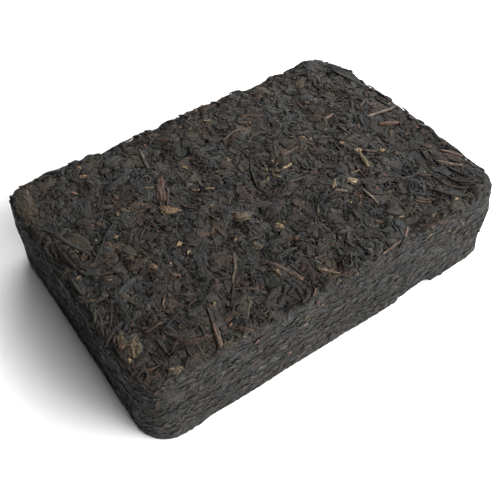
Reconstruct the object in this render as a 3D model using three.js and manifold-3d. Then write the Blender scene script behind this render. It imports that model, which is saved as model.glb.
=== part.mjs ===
// A pressed pu-erh tea brick: ripe tea leaf steamed and pressed into one block with rounded corners.
// It is one solid. Its core carries the uneven lie of the leaf, and the larger folds of leaf and
// twisted shreds that stand out of it are fused on, each a ridge of few sides on the surface.
// Millimetres, +Z up. The origin is the middle of the flat underside, the long sides face -Y and +Y.
import * as THREE from "three";
import { mergeVertices } from "three/addons/utils/BufferGeometryUtils.js";
import Module from "manifold-3d";

const LENGTH = 130;
const WIDTH = 90;
const HEIGHT = 29.8;

// The upright corners were rounded unevenly by the mould and by handling.
const CORNER_RADIUS = { frontLeft: 10, frontRight: 11.5, backRight: 13, backLeft: 8.5 };
const TOP_EDGE_RADIUS = 3.4;
const BOTTOM_EDGE_RADIUS = 1.2;

// The lower edge of the front side has crumbled away in stretches, each worn to a radius of its
// own. It is whole at the foot at its left end.
const WORN_STRETCHES = [
  { from: -50, to: 24, radius: 2.2 },
  { from: 22, to: 39, radius: 5.4 },
  { from: 37, to: 60, radius: 2.4 },
];
// A stretch sets in and ends over this far. The wear begins a reach in from the side, is full a
// little way in, and comes and goes along it.
const WEAR_STEP = 2.5;
const WEAR_REACH = 8;
const WEAR_FULL = 2;
const WEAR_UNEVEN = 0.3;
const WEAR_LUMP = 9;

// Relief of the pressed leaf: lumps as large as a clump of leaf, and shallow layers on the sides.
const CLUMP_SIZE = 11;
const CLUMP_HEIGHT = 0.8;
const LEAF_SIZE = 5;
const LEAF_HEIGHT = 0.75;
const LAYER_LENGTH = 16;
const LAYER_PITCH = 5;
const LAYER_HEIGHT = 0.45;
// The sides were pressed against the mould, so the lumps are shallower there.
const SIDE_LUMPS = 0.45;
// The underside is one flat cut, this far above the lowest point of the rounded block, and the
// relief grows from there upwards.
const UNDERSIDE_CUT = 0.2;
const RELIEF_FULL_ABOVE = 4;

// Places where leaf has broken out, each with its centre, its half sizes and its depth, which is
// full over the middle share of it.
const HOLLOW_FLOOR = 0.25;
const HOLLOWS = [
  { x: -17, y: -42, z: 30, along: 7.5, across: 6, up: 5, depth: 2.6 },
  { x: -63, y: 9, z: 30, along: 5, across: 10, up: 4, depth: 2.2 },
  { x: 59, y: 36, z: 30, along: 8, across: 8, up: 5, depth: 1.4 },
  { x: 30, y: 44, z: 29, along: 9, across: 4, up: 4, depth: 1.3 },
  { x: -22, y: 45, z: 6, along: 12, across: 4, up: 5, depth: 1.2 },
  { x: 65, y: 12, z: 8, along: 4, across: 8, up: 5, depth: 1.2 },
];

// Core grid: cells along the length, the width and the height, how much closer they are drawn at
// the edges, and how far a vertex strays, as a share of a cell.
const CORE_CELLS = [27, 19, 6];
const EDGE_CROWDING = 0.35;
const GRID_JITTER = 0.2;

// Shreds that stand out, for the top and for the four sides. Headings turn away from the face's
// long direction by up to half of turn, lengths and widths are [least, most], proud is how far a
// shred stands out, and hooked is the share of them that curl round.
const TOP_SHREDS = {
  spacingAlong: 12,
  spacingAcross: 11,
  length: [9, 17],
  width: [2, 4.2],
  proud: [0.6, 1.3],
  turn: Math.PI,
  bend: 1.6,
  hooked: 0.16,
};
const SIDE_SHREDS = {
  spacingAlong: 21,
  spacingAcross: 10,
  length: [9, 16],
  width: [1.8, 3.2],
  proud: [0.3, 0.6],
  turn: 0.5,
  bend: 0.5,
  hooked: 0,
};
const SHRED_STEPS = 3;
const SHRED_SUNK = 0.8;
// Widths of a shred's ends and of its crown, as shares of its full width.
const SHRED_END = 0.4;
const SHRED_CROWN = 0.55;
const SHRED_STRAY = 0.3;
const HOOK_BEND = 3.8;
const HOOK_STEPS = 6;
// Shreds keep this far from the edges of their face, along it and across it.
const MARGIN_ALONG = 6;
const MARGIN_ACROSS = 3;
const SEED = 20417;

// Edges shorter than the first are closed up where a shred meets the core, and the vertices of
// the finished solid lie on a grid of the second, so that no two of them nearly meet.
const JOIN_TOLERANCE = 0.1;
const VERTEX_GRID = 0.002;

const LEAF = new THREE.MeshStandardMaterial({ color: 0x3a3733, roughness: 0.82, metalness: 0 });

// Repeatable random numbers, 0 to 1.
function randomFrom(seed) {
  let state = seed >>> 0;
  return () => {
    state = (state + 0x6d2b79f5) >>> 0;
    let t = Math.imul(state ^ (state >>> 15), state | 1);
    t ^= t + Math.imul(t ^ (t >>> 7), t | 61);
    return ((t ^ (t >>> 14)) >>> 0) / 4294967296;
  };
}

// One repeatable value for each point of a whole-number lattice, -1 to 1.
function latticeValue(i, j, k) {
  let h = Math.imul(i, 73856093) ^ Math.imul(j, 19349663) ^ Math.imul(k, 83492791);
  h = Math.imul(h ^ (h >>> 13), 1274126177);
  return ((h ^ (h >>> 16)) >>> 0) / 2147483648 - 1;
}

// Smooth noise between the lattice values, -1 to 1.
function smoothNoise(x, y, z) {
  const cell = [x, y, z].map(Math.floor);
  const part = [x, y, z].map((value, n) => {
    const t = value - cell[n];
    return t * t * (3 - 2 * t);
  });
  let sum = 0;
  for (let corner = 0; corner < 8; corner++) {
    const step = [corner & 1, (corner >> 1) & 1, corner >> 2];
    const weight = step.reduce((w, s, n) => w * (s ? part[n] : 1 - part[n]), 1);
    sum += weight * latticeValue(cell[0] + step[0], cell[1] + step[1], cell[2] + step[2]);
  }
  return sum;
}

function cornerRadius(x, y) {
  if (y < 0) return x < 0 ? CORNER_RADIUS.frontLeft : CORNER_RADIUS.frontRight;
  return x < 0 ? CORNER_RADIUS.backLeft : CORNER_RADIUS.backRight;
}

// The bottom edge is sharp, and worn round along the stretches of the front side.
function bottomRadius(x, y) {
  const { smoothstep } = THREE.MathUtils;
  const front = smoothstep(-y, WIDTH / 2 - WEAR_REACH, WIDTH / 2 - WEAR_FULL);
  const wear = WORN_STRETCHES.map(({ from, to, radius }) => {
    const within = smoothstep(x, from, from + WEAR_STEP) * (1 - smoothstep(x, to - WEAR_STEP, to));
    return (radius - BOTTOM_EDGE_RADIUS) * within;
  });
  const uneven = 1 + WEAR_UNEVEN * smoothNoise(x / WEAR_LUMP, y / WEAR_LUMP, 0.5);
  return BOTTOM_EDGE_RADIUS + Math.max(...wear) * front * uneven;
}

// How far the leaf stands out of the mean surface at a point there.
function relief(point, normal) {
  const { x, y, z } = point;
  const clump = CLUMP_HEIGHT * smoothNoise(x / CLUMP_SIZE, y / CLUMP_SIZE, z / CLUMP_SIZE);
  const leaf = LEAF_HEIGHT * smoothNoise(x / LEAF_SIZE, y / LEAF_SIZE, z / LEAF_SIZE);
  const layer = LAYER_HEIGHT * smoothNoise(x / LAYER_LENGTH, y / LAYER_LENGTH, z / LAYER_PITCH);
  const top = Math.max(normal.z, 0);
  const grown = THREE.MathUtils.smoothstep(z, UNDERSIDE_CUT, RELIEF_FULL_ABOVE);
  const lumps = (clump + leaf) * (SIDE_LUMPS + (1 - SIDE_LUMPS) * top);
  let height = grown * (lumps + layer * (1 - top));
  for (const hollow of HOLLOWS) {
    const distance = Math.hypot(
      (x - hollow.x) / hollow.along,
      (y - hollow.y) / hollow.across,
      (z - hollow.z) / hollow.up,
    );
    height -= grown * hollow.depth * (1 - THREE.MathUtils.smoothstep(distance, HOLLOW_FLOOR, 1));
  }
  return height;
}

// Takes a point on the plain box to the brick's surface, and gives the way out of the leaf there.
function onBrick(boxPoint) {
  const { x, y, z } = boxPoint;
  const edge = z > HEIGHT / 2 ? TOP_EDGE_RADIUS : bottomRadius(x, y);
  const corner = cornerRadius(x, y);
  const inner = new THREE.Vector2(
    THREE.MathUtils.clamp(x, corner - LENGTH / 2, LENGTH / 2 - corner),
    THREE.MathUtils.clamp(y, corner - WIDTH / 2, WIDTH / 2 - corner),
  );
  const outwards = new THREE.Vector2(x, y).sub(inner);
  const plan = inner.add(outwards.clampLength(0, corner - edge));
  const core = new THREE.Vector3(plan.x, plan.y, THREE.MathUtils.clamp(z, edge, HEIGHT - edge));
  const normal = boxPoint.clone().sub(core).normalize();
  const point = core.addScaledVector(normal, edge);
  return { point: point.addScaledVector(normal, relief(point, normal)), normal };
}

// The whole block before its underside is cut flat. Its grid is uneven, and finer at the edges.
function coreGeometry() {
  const size = [LENGTH, WIDTH, HEIGHT];
  const geometry = new THREE.BoxGeometry(...size, ...CORE_CELLS);
  const position = geometry.attributes.position;
  for (let n = 0; n < position.count; n++) {
    const place = [position.getX(n), position.getY(n), position.getZ(n)];
    const cell = place.map((value, axis) => Math.round((value / size[axis] + 0.5) * CORE_CELLS[axis]));
    const shares = cell.map((count, axis) => {
      const share = (2 * count) / CORE_CELLS[axis] - 1;
      if (Math.abs(share) === 1) return share;
      const stray = GRID_JITTER * latticeValue(cell[0], cell[1], 3 * cell[2] + axis);
      const moved = share + (2 * stray) / CORE_CELLS[axis];
      return moved * (1 + EDGE_CROWDING * (1 - moved * moved));
    });
    const [x, y, z] = shares.map((share, axis) => (share * size[axis]) / 2);
    position.setXYZ(n, ...onBrick(new THREE.Vector3(x, y, z + HEIGHT / 2)).point);
  }
  return geometry;
}

// The faces of the plain box that carry shreds: their size, and the box point at a place on them.
const FACES = [
  { along: LENGTH, across: WIDTH, at: (a, b) => [a, b, HEIGHT], shreds: TOP_SHREDS },
  { along: LENGTH, across: HEIGHT, at: (a, b) => [a, -WIDTH / 2, HEIGHT / 2 + b], shreds: SIDE_SHREDS },
  { along: LENGTH, across: HEIGHT, at: (a, b) => [-a, WIDTH / 2, HEIGHT / 2 + b], shreds: SIDE_SHREDS },
  { along: WIDTH, across: HEIGHT, at: (a, b) => [LENGTH / 2, a, HEIGHT / 2 + b], shreds: SIDE_SHREDS },
  { along: WIDTH, across: HEIGHT, at: (a, b) => [-LENGTH / 2, -a, HEIGHT / 2 + b], shreds: SIDE_SHREDS },
];

// One shred on a face: a bar with a narrower crown, thinner at its ends, along an arc on the leaf.
function shredGeometry(face, shred) {
  const geometry = new THREE.BoxGeometry(1, 1, 1, 1, shred.steps, 1);
  const position = geometry.attributes.position;
  const thickness = SHRED_SUNK + shred.proud;
  for (let n = 0; n < position.count; n++) {
    const t = position.getY(n);
    const taper = SHRED_END + (1 - SHRED_END) * Math.sqrt(1 - 4 * t * t);
    const angle = shred.heading + shred.bend * t;
    const radius = shred.length / shred.bend;
    const crown = position.getZ(n) > 0 ? SHRED_CROWN : 1;
    const right = position.getX(n) * shred.width * taper * crown;
    const a = shred.a + radius * (Math.sin(angle) - Math.sin(shred.heading)) + right * Math.sin(angle);
    const b = shred.b - radius * (Math.cos(angle) - Math.cos(shred.heading)) - right * Math.cos(angle);
    const up = shred.proud - thickness * (0.5 - position.getZ(n) * taper);
    const { point, normal } = onBrick(new THREE.Vector3(...face.at(a, b)));
    position.setXYZ(n, ...point.addScaledVector(normal, up));
  }
  return geometry;
}

// Shreds in a jittered grid, so that they are spread evenly over the face.
function shredsOn(face, random) {
  const { spacingAlong, spacingAcross, length, width, proud, turn, bend } = face.shreds;
  const along = face.along - 2 * MARGIN_ALONG;
  const across = face.across - 2 * MARGIN_ACROSS;
  const between = ([least, most]) => least + (most - least) * random();
  const either = (most) => most * (2 * random() - 1);
  const columns = Math.floor(face.along / spacingAlong);
  const rows = Math.floor(face.across / spacingAcross);
  const shreds = [];
  for (let column = 0; column < columns; column++) {
    for (let row = 0; row < rows; row++) {
      const hooked = random() < face.shreds.hooked;
      shreds.push({
        a: ((column + 0.5 + either(SHRED_STRAY)) / columns - 0.5) * along,
        b: ((row + 0.5 + either(SHRED_STRAY)) / rows - 0.5) * across,
        heading: either(turn / 2),
        length: between(length),
        width: hooked ? width[0] : between(width),
        proud: between(proud),
        bend: hooked ? HOOK_BEND : either(bend),
        steps: hooked ? HOOK_STEPS : SHRED_STEPS,
      });
    }
  }
  return shreds.map((shred) => shredGeometry(face, shred));
}

// Joins the shreds to the core and cuts the underside flat.
async function fused(core, pieces) {
  const wasm = await Module();
  wasm.setup();
  const solidOf = (geometry, tolerance) => {
    geometry.deleteAttribute("normal");
    geometry.deleteAttribute("uv");
    const merged = mergeVertices(geometry, 1e-3);
    return new wasm.Manifold(
      new wasm.Mesh({
        numProp: 3,
        vertProperties: merged.attributes.position.array,
        triVerts: new Uint32Array(merged.index.array),
        tolerance,
      }),
    );
  };
  const geometryOf = (solid) => {
    const { vertProperties, triVerts } = solid.getMesh();
    const onGrid = vertProperties.map((value) => Math.round(value / VERTEX_GRID) * VERTEX_GRID);
    const geometry = new THREE.BufferGeometry();
    geometry.setAttribute("position", new THREE.BufferAttribute(onGrid, 3));
    geometry.setIndex(new THREE.BufferAttribute(triVerts, 1));
    return geometry;
  };
  const join = (geometry) => solidOf(geometry, JOIN_TOLERANCE);
  const below = new THREE.BoxGeometry(2 * LENGTH, 2 * WIDTH, HEIGHT);
  below.translate(0, 0, UNDERSIDE_CUT - HEIGHT / 2);
  let solid = wasm.Manifold.union([core, ...pieces].map(join)).subtract(join(below));
  // A pocket closed in under a shred may touch the outside at one point. Each time the mesh is
  // read afresh such pockets come apart from it, and the outside alone is kept.
  let bodies;
  do {
    bodies = solidOf(geometryOf(solid), 0).decompose();
    solid = bodies.reduce((largest, body) => (body.volume() > largest.volume() ? body : largest));
  } while (bodies.length > 1);
  return geometryOf(solid);
}

const random = randomFrom(SEED);
const shreds = FACES.flatMap((face) => shredsOn(face, random));
const teaBrick = new THREE.Mesh(await fused(coreGeometry(), shreds), LEAF);
teaBrick.name = "tea_brick";
teaBrick.geometry.computeVertexNormals();
teaBrick.geometry.computeBoundingBox();
const middle = teaBrick.geometry.boundingBox.getCenter(new THREE.Vector3());
teaBrick.geometry.translate(-middle.x, -middle.y, -UNDERSIDE_CUT);

const part = new THREE.Group();
part.add(teaBrick);

export default part;
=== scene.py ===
"""A pressed pu-erh tea brick: ripe leaf over a dark core, on a pale floor.

Sizes are in millimetres and are turned to metres as they become a mesh. Angles are in radians, apart
from headings given in the tables, which are in degrees. The top is a mat of folded and twisted leaf,
the sides are the same leaf pressed into layers, and the underside is flat.
"""

import math

import bmesh
import bpy
import numpy as np
from mathutils import Matrix, Vector


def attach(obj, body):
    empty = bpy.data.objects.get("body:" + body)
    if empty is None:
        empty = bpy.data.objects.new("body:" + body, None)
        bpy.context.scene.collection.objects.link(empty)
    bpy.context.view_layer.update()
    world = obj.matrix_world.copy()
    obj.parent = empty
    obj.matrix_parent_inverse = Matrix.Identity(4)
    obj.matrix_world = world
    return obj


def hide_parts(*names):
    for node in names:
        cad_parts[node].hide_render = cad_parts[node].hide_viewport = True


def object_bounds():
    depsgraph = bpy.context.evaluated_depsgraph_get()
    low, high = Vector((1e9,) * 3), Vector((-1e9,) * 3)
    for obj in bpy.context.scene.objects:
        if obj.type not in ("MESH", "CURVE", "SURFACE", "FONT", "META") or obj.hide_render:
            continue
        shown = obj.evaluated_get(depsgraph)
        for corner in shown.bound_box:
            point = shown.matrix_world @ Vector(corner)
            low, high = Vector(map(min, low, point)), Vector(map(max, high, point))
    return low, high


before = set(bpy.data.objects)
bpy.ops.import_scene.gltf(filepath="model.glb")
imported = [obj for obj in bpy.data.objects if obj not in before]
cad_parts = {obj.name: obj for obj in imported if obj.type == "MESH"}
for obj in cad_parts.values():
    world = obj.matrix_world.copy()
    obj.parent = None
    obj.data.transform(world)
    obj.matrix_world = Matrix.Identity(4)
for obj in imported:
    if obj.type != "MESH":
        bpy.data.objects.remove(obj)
cad_low, cad_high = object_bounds()

MM = 0.001
FULL_TURN = 2 * math.pi
NODE = "tea_brick"
BODY = "root"

# ---- the brick's form

# Leaf stands this far out of the mean faces of the block: at each end, at each side, on the top.
PROUD_ENDS = 1.0
PROUD_SIDES = 1.0
PROUD_TOP = 2.4
LENGTH = (cad_high.x - cad_low.x) / MM - 2 * PROUD_ENDS
WIDTH = (cad_high.y - cad_low.y) / MM - 2 * PROUD_SIDES
HEIGHT = (cad_high.z - cad_low.z) / MM - PROUD_TOP

# Upright corners: front left, front right, back right, back left.
CORNER_RADII = {(-1, -1): 10, (1, -1): 11.5, (1, 1): 13, (-1, 1): 8.5}
TOP_EDGE_RADIUS = 3.4
BOTTOM_EDGE_RADIUS = 1.2
# Stretches of the lower front edge that have crumbled away: from x, to x, and the radius left.
WORN_STRETCHES = ((-50, 24, 2.2), (22, 39, 5.4), (37, 60, 2.4))
# They start and end over WEAR_STEP, and are worn in full up to WEAR_FULL from the front, and not at all
# past WEAR_REACH. The wear varies by a share, in lumps.
WEAR_STEP = 2.5
WEAR_REACH = 8
WEAR_FULL = 2
WEAR_UNEVEN = 0.3
WEAR_LUMP = 9

# How far apart the lumps of the surface come, and how far they stand out. Layers run along the sides,
# where clumps and leaves keep only a share of their height.
CLUMP_SIZE = 11
CLUMP_HEIGHT = 0.8
LEAF_SIZE = 5
LEAF_HEIGHT = 0.75
LAYER_LENGTH = 16
LAYER_PITCH = 5
LAYER_HEIGHT = 0.45
SIDE_LUMPS = 0.45
# The mould's floor pressed the lowest leaf flat, so the relief grows over this height.
RELIEF_FULL_ABOVE = 4
# Broken-out places: their middle, their half sizes along x, y and z, and their depth, which is even
# over the innermost share of them.
HOLLOW_FLOOR = 0.25
HOLLOWS = (
    ((-17, -42, 30), (7.5, 6, 5), 2.6),
    ((-63, 9, 30), (5, 10, 4), 2.2),
    ((59, 36, 30), (8, 8, 5), 1.4),
    ((30, 44, 29), (9, 4, 4), 1.3),
    ((-22, 45, 6), (12, 4, 5), 1.2),
    ((65, 12, 8), (4, 8, 5), 1.2),
)

# The whole numbers that scatter the noise's values: a factor for each axis, one more, and two shifts.
LATTICE_FACTORS = (73856093, 19349663, 83492791, 1274126177)
LATTICE_SHIFTS = (13, 16)
HALF_RANGE = 2**31
# These patterns read the noise at places of their own, so that none repeats another.
WEAR_PLACE = 0.5
CORE_PLACE = 3.3
HUE_PLACE = 5.7
GRAIN_PLACE = 7.5
TINT_PLACE = 11.3
# No length is taken as less than this where something is divided by it.
LEAST_LENGTH = 1e-9


def smoothstep(value, low, high):
    """0 up to low and 1 from high, with a smooth rise between."""
    part = np.clip((value - low) / (high - low), 0, 1)
    return part * part * (3 - 2 * part)


def lattice_value(i, j, k):
    """One repeatable value for each point of a whole-number lattice, -1 to 1."""
    step_i, step_j, step_k, mix = np.array(LATTICE_FACTORS, np.uint32)
    first, second = np.array(LATTICE_SHIFTS, np.uint32)
    value = i * step_i ^ j * step_j ^ k * step_k
    value = (value ^ (value >> first)) * mix
    return (value ^ (value >> second)) / HALF_RANGE - 1


def smooth_noise(points):
    """Smooth noise between the lattice values, -1 to 1, at each row of points."""
    cell = np.floor(points)
    part = points - cell
    part = part * part * (3 - 2 * part)
    cell = cell.astype(np.int64).astype(np.uint32)
    total = 0
    for step in np.ndindex(2, 2, 2):
        weight = np.prod(np.where(step, part, 1 - part), axis=1)
        total = total + weight * lattice_value(*(cell + np.array(step, np.uint32)).T)
    return total


def flat_noise(a, b, size, place):
    """Smooth noise over a plane, in lumps of a size."""
    return smooth_noise(np.stack([a / size, b / size, np.full(len(a), place)], axis=1))


def corner_radius(x, y):
    """The radius of the upright corner that is nearest to each place."""
    radius = np.zeros(len(x))
    for (side_x, side_y), size in CORNER_RADII.items():
        radius[(np.where(x < 0, -1, 1) == side_x) & (np.where(y < 0, -1, 1) == side_y)] = size
    return radius


def bottom_radius(x, y):
    """The radius of the lower edge, which is sharp, and worn round along stretches of the front."""
    front = smoothstep(-y, WIDTH / 2 - WEAR_REACH, WIDTH / 2 - WEAR_FULL)
    wear = np.zeros(len(x))
    for start, end, radius in WORN_STRETCHES:
        within = smoothstep(x, start, start + WEAR_STEP) * (1 - smoothstep(x, end - WEAR_STEP, end))
        wear = np.maximum(wear, (radius - BOTTOM_EDGE_RADIUS) * within)
    uneven = 1 + WEAR_UNEVEN * flat_noise(x, y, WEAR_LUMP, WEAR_PLACE)
    return BOTTOM_EDGE_RADIUS + wear * front * uneven


def relief(points, normals):
    """How far the leaf stands out of the block's mean surface."""
    clump = CLUMP_HEIGHT * smooth_noise(points / CLUMP_SIZE)
    leaf = LEAF_HEIGHT * smooth_noise(points / LEAF_SIZE)
    layer = LAYER_HEIGHT * smooth_noise(points / (LAYER_LENGTH, LAYER_LENGTH, LAYER_PITCH))
    top = np.maximum(normals[:, 2], 0)
    grown = smoothstep(points[:, 2], 0, RELIEF_FULL_ABOVE)
    height = (clump + leaf) * (SIDE_LUMPS + (1 - SIDE_LUMPS) * top) + layer * (1 - top)
    for middle, half, depth in HOLLOWS:
        distance = np.linalg.norm((points - middle) / half, axis=1)
        height -= depth * (1 - smoothstep(distance, HOLLOW_FLOOR, 1))
    return grown * height


def on_brick(box_points):
    """Takes points on the plain box to the brick's surface, and gives the way out of it there."""
    x, y, z = box_points.T
    edge = np.where(z > HEIGHT / 2, TOP_EDGE_RADIUS, bottom_radius(x, y))
    corner = corner_radius(x, y)
    reach = np.stack([LENGTH / 2 - corner, WIDTH / 2 - corner], axis=1)
    inner = np.clip(box_points[:, :2], -reach, reach)
    outwards = box_points[:, :2] - inner
    distance = np.maximum(np.linalg.norm(outwards, axis=1), LEAST_LENGTH)
    plan = inner + outwards * np.minimum(1, (corner - edge) / distance)[:, None]
    core = np.column_stack([plan, np.clip(z, edge, HEIGHT - edge)])
    normals = box_points - core
    normals /= np.maximum(np.linalg.norm(normals, axis=1), LEAST_LENGTH)[:, None]
    points = core + normals * edge[:, None]
    return points + normals * relief(points, normals)[:, None], normals


class Bed:
    """One face of the block, which leaf lies on: its middle, and the ways along, across and out of it.
    A place on it is a and b: how far along it and how far across it from its middle."""

    def __init__(self, middle, along, across, size):
        self.middle = np.array(middle, float)
        self.along = np.array(along, float)
        self.across = np.array(across, float)
        self.out = np.cross(self.along, self.across)
        self.size = size

    def box_points(self, a, b):
        """Points of the plain box. What reaches past the bed's edge is laid over it."""
        over = np.maximum(np.abs(a) - self.size[0] / 2, 0) + np.maximum(np.abs(b) - self.size[1] / 2, 0)
        a = np.clip(a, -self.size[0] / 2, self.size[0] / 2)
        b = np.clip(b, -self.size[1] / 2, self.size[1] / 2)
        flat = self.middle + a[:, None] * self.along + b[:, None] * self.across
        return flat - over[:, None] * self.out


TOP = Bed((0, 0, HEIGHT), (1, 0, 0), (0, 1, 0), (LENGTH, WIDTH))
UNDERSIDE = Bed((0, 0, 0), (1, 0, 0), (0, -1, 0), (LENGTH, WIDTH))
FRONT, BACK = [
    Bed((0, side * WIDTH / 2, HEIGHT / 2), (-side, 0, 0), (0, 0, 1), (LENGTH, HEIGHT)) for side in (-1, 1)
]
RIGHT, LEFT = [
    Bed((side * LENGTH / 2, 0, HEIGHT / 2), (0, side, 0), (0, 0, 1), (WIDTH, HEIGHT)) for side in (1, -1)
]
SIDES = (FRONT, BACK, RIGHT, LEFT)

# ---- how a finish is made

# Dry leaf bends light about as wax, plant fibre and paint do, and its broken skin gleams a little less.
LEAF_IOR = 1.45
LEAF_SPECULAR = 0.4
# A leaf's real veins are about 0.2 mm apart, which is too fine to show, so its veins and creases are
# drawn this far apart. They run along it and keep going for this long.
VEIN_PITCH = 0.5
VEIN_LENGTH = 3.5
VEIN_RAGGED = 0.6
# Real leaf dust is finer than 0.1 mm, and its specks are drawn coarser to show.
SPECK_SIZE = 0.5
NOISE_DETAIL = 2
# What each piece of leaf has of its own: how light it is, and its colour.
QUALITIES = ("tint", "hue")
# Nearly all of a noise texture's values lie between these.
NOISE_LOW = 0.3
NOISE_HIGH = 0.7


def linear(hex_colour):
    """An sRGB hex value as the linear colour that a shader takes."""
    channels = [(hex_colour >> shift & 255) / 255 for shift in (16, 8, 0)]
    return [c / 12.92 if c <= 0.04045 else ((c + 0.055) / 1.055) ** 2.4 for c in channels] + [1]


def add_node(tree, kind, inputs=None, stops=(), **settings):
    """Adds a node, gives it its settings and its colour stops, and feeds its inputs with values or with
    other nodes' outputs."""
    node = tree.nodes.new(kind)
    for name, value in settings.items():
        setattr(node, name, value)
    for name, value in (inputs or {}).items():
        if isinstance(value, bpy.types.NodeSocket):
            tree.links.new(value, node.inputs[name])
        else:
            node.inputs[name].default_value = value
    elements = node.color_ramp.elements if stops else ()
    while len(elements) < len(stops):
        elements.new(0.5)
    for element, (position, colour) in zip(elements, stops):
        element.position = position
        element.color = linear(colour)
    return node


def new_material(name):
    """An empty material, and its tree of nodes."""
    material = bpy.data.materials.new(name)
    material.use_nodes = True
    material.node_tree.nodes.clear()
    return material, material.node_tree


def finished(material, look):
    """Ends a material with its surface, which gleams as dry leaf does where its look says nothing."""
    tree = material.node_tree
    look = {"IOR": LEAF_IOR, "Specular IOR Level": LEAF_SPECULAR, **look}
    surface = add_node(tree, "ShaderNodeBsdfPrincipled", look)
    add_node(tree, "ShaderNodeOutputMaterial", {"Surface": surface.outputs["BSDF"]})
    return material


def leaf_finish(name, shades, hues, roughness, crease, veins_and_ridge_light):
    """Leaf whose pieces each have their own shade and hue, and a dull gloss that makes grey lines of the
    ridges. Veins and specks run along them, and the same noise raises the bump and lightens the colour
    where it is raised: partly the leaf's own streaks, partly painted highlight on the ridges and painted
    shade in the creases. roughness is its least and its most, crease the depth of its creases, and the
    last argument how far the veins and that painted light change its shade."""
    material, tree = new_material(name)
    lie = add_node(tree, "ShaderNodeUVMap", uv_map="lie").outputs["UV"]
    tint, hue = [
        add_node(tree, "ShaderNodeAttribute", attribute_name=quality).outputs["Fac"]
        for quality in QUALITIES
    ]
    scaled = add_node(
        tree, "ShaderNodeMapping", {"Vector": lie, "Scale": (1 / VEIN_PITCH, 1 / VEIN_LENGTH, 1)}
    ).outputs["Vector"]
    veins = add_node(
        tree, "ShaderNodeTexNoise",
        {"Vector": scaled, "Scale": 1, "Detail": NOISE_DETAIL, "Roughness": VEIN_RAGGED},
    ).outputs["Fac"]
    specks = add_node(
        tree, "ShaderNodeTexNoise", {"Vector": lie, "Scale": 1 / SPECK_SIZE, "Detail": NOISE_DETAIL}
    ).outputs["Fac"]
    mixed = add_node(tree, "ShaderNodeMath", {0: veins, 1: specks}, operation="ADD").outputs[0]
    # The bump's height also shifts the shade: painted highlight where the veins are raised and painted
    # shade in the creases, over the leaf's own streaks.
    shift = add_node(
        tree, "ShaderNodeMath", {0: mixed, 1: veins_and_ridge_light, 2: -veins_and_ridge_light}, operation="MULTIPLY_ADD"
    ).outputs[0]
    shade = add_node(tree, "ShaderNodeMath", {0: tint, 1: shift}, operation="ADD").outputs[0]
    shade_colour = add_node(tree, "ShaderNodeValToRGB", {"Fac": shade}, shades).outputs["Color"]
    hue_colour = add_node(tree, "ShaderNodeValToRGB", {"Fac": hue}, hues).outputs["Color"]
    # The factor and the two colours of a mix of colours are its inputs 0, 6 and 7.
    colour = add_node(
        tree, "ShaderNodeMix", {0: 1, 6: shade_colour, 7: hue_colour},
        data_type="RGBA", blend_type="MULTIPLY",
    ).outputs[2]
    smoothest, roughest = roughness
    rough = add_node(
        tree, "ShaderNodeMapRange",
        {"Value": specks, "From Min": NOISE_LOW, "From Max": NOISE_HIGH,
         "To Min": smoothest, "To Max": roughest},
    ).outputs["Result"]
    bump = add_node(
        tree, "ShaderNodeBump", {"Height": mixed, "Strength": 1, "Distance": crease * MM}
    ).outputs["Normal"]
    return finished(material, {"Base Color": colour, "Roughness": rough, "Normal": bump})


def dust_finish(name, stops, roughness, crease, clump_size):
    """Leaf dust whose creases lie another way in each small clump. crease is their depth. The creases'
    height also sets the colour: painted shade down in them and painted highlight on their ridges.
    """
    material, tree = new_material(name)
    place = add_node(tree, "ShaderNodeTexCoord").outputs["Object"]
    clump = add_node(
        tree, "ShaderNodeTexVoronoi", {"Vector": place, "Scale": 1 / (clump_size * MM)}
    ).outputs["Color"]
    turn = add_node(
        tree, "ShaderNodeVectorMath", {0: clump, 1: (FULL_TURN,) * 3}, operation="MULTIPLY"
    ).outputs[0]
    lie = add_node(
        tree, "ShaderNodeVectorRotate", {"Vector": place, "Rotation": turn}, rotation_type="EULER_XYZ"
    ).outputs[0]
    scaled = add_node(
        tree, "ShaderNodeMapping",
        {"Vector": lie, "Scale": [1 / (MM * size) for size in (VEIN_PITCH, VEIN_PITCH, VEIN_LENGTH)]},
    ).outputs["Vector"]
    creases = add_node(
        tree, "ShaderNodeTexNoise", {"Vector": scaled, "Scale": 1, "Detail": NOISE_DETAIL}
    ).outputs["Fac"]
    # The crease height picks the colour too: darker in the creases as painted shade, lighter on the ridges
    # as painted highlight.
    colour = add_node(tree, "ShaderNodeValToRGB", {"Fac": creases}, stops).outputs["Color"]
    bump = add_node(
        tree, "ShaderNodeBump", {"Height": creases, "Strength": 1, "Distance": crease * MM}
    ).outputs["Normal"]
    return finished(material, {"Base Color": colour, "Roughness": roughness, "Normal": bump})


# ---- the brick's finishes

# Shades run from dark to pale, and hues, which are near white, tint them.

# Dust and broken leaf pressed hard under the rest: near black and darker than the leaf over it, partly
# its own dark colour and partly painted shade, so that the gaps between leaves look deep.
dust_and_gap_shade = dust_finish(
    "pressed leaf dust",
    stops=((NOISE_LOW, 0x0C0B0A), (0.5, 0x181614), (NOISE_HIGH, 0x2D2926)),
    roughness=0.7, crease=0.4, clump_size=3.2,
)
# Ripe leaf, fermented, rolled and dried: black-brown, some of it bluish and some reddish, and matt, so
# that only its ridges are grey.
dark_leaf = leaf_finish(
    "fermented rolled tea leaf",
    shades=((0, 0x110F0F), (0.4, 0x1C1A18), (0.75, 0x2A2825), (1, 0x423C36)),
    hues=((0, 0xD0E2F0), (0.25, 0xEAF0EC), (0.5, 0xFFF8DC), (0.75, 0xFFE8C2), (1, 0xFFC4A4)),
    roughness=(0.66, 0.9), crease=0.3, veins_and_ridge_light=1,
)
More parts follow.
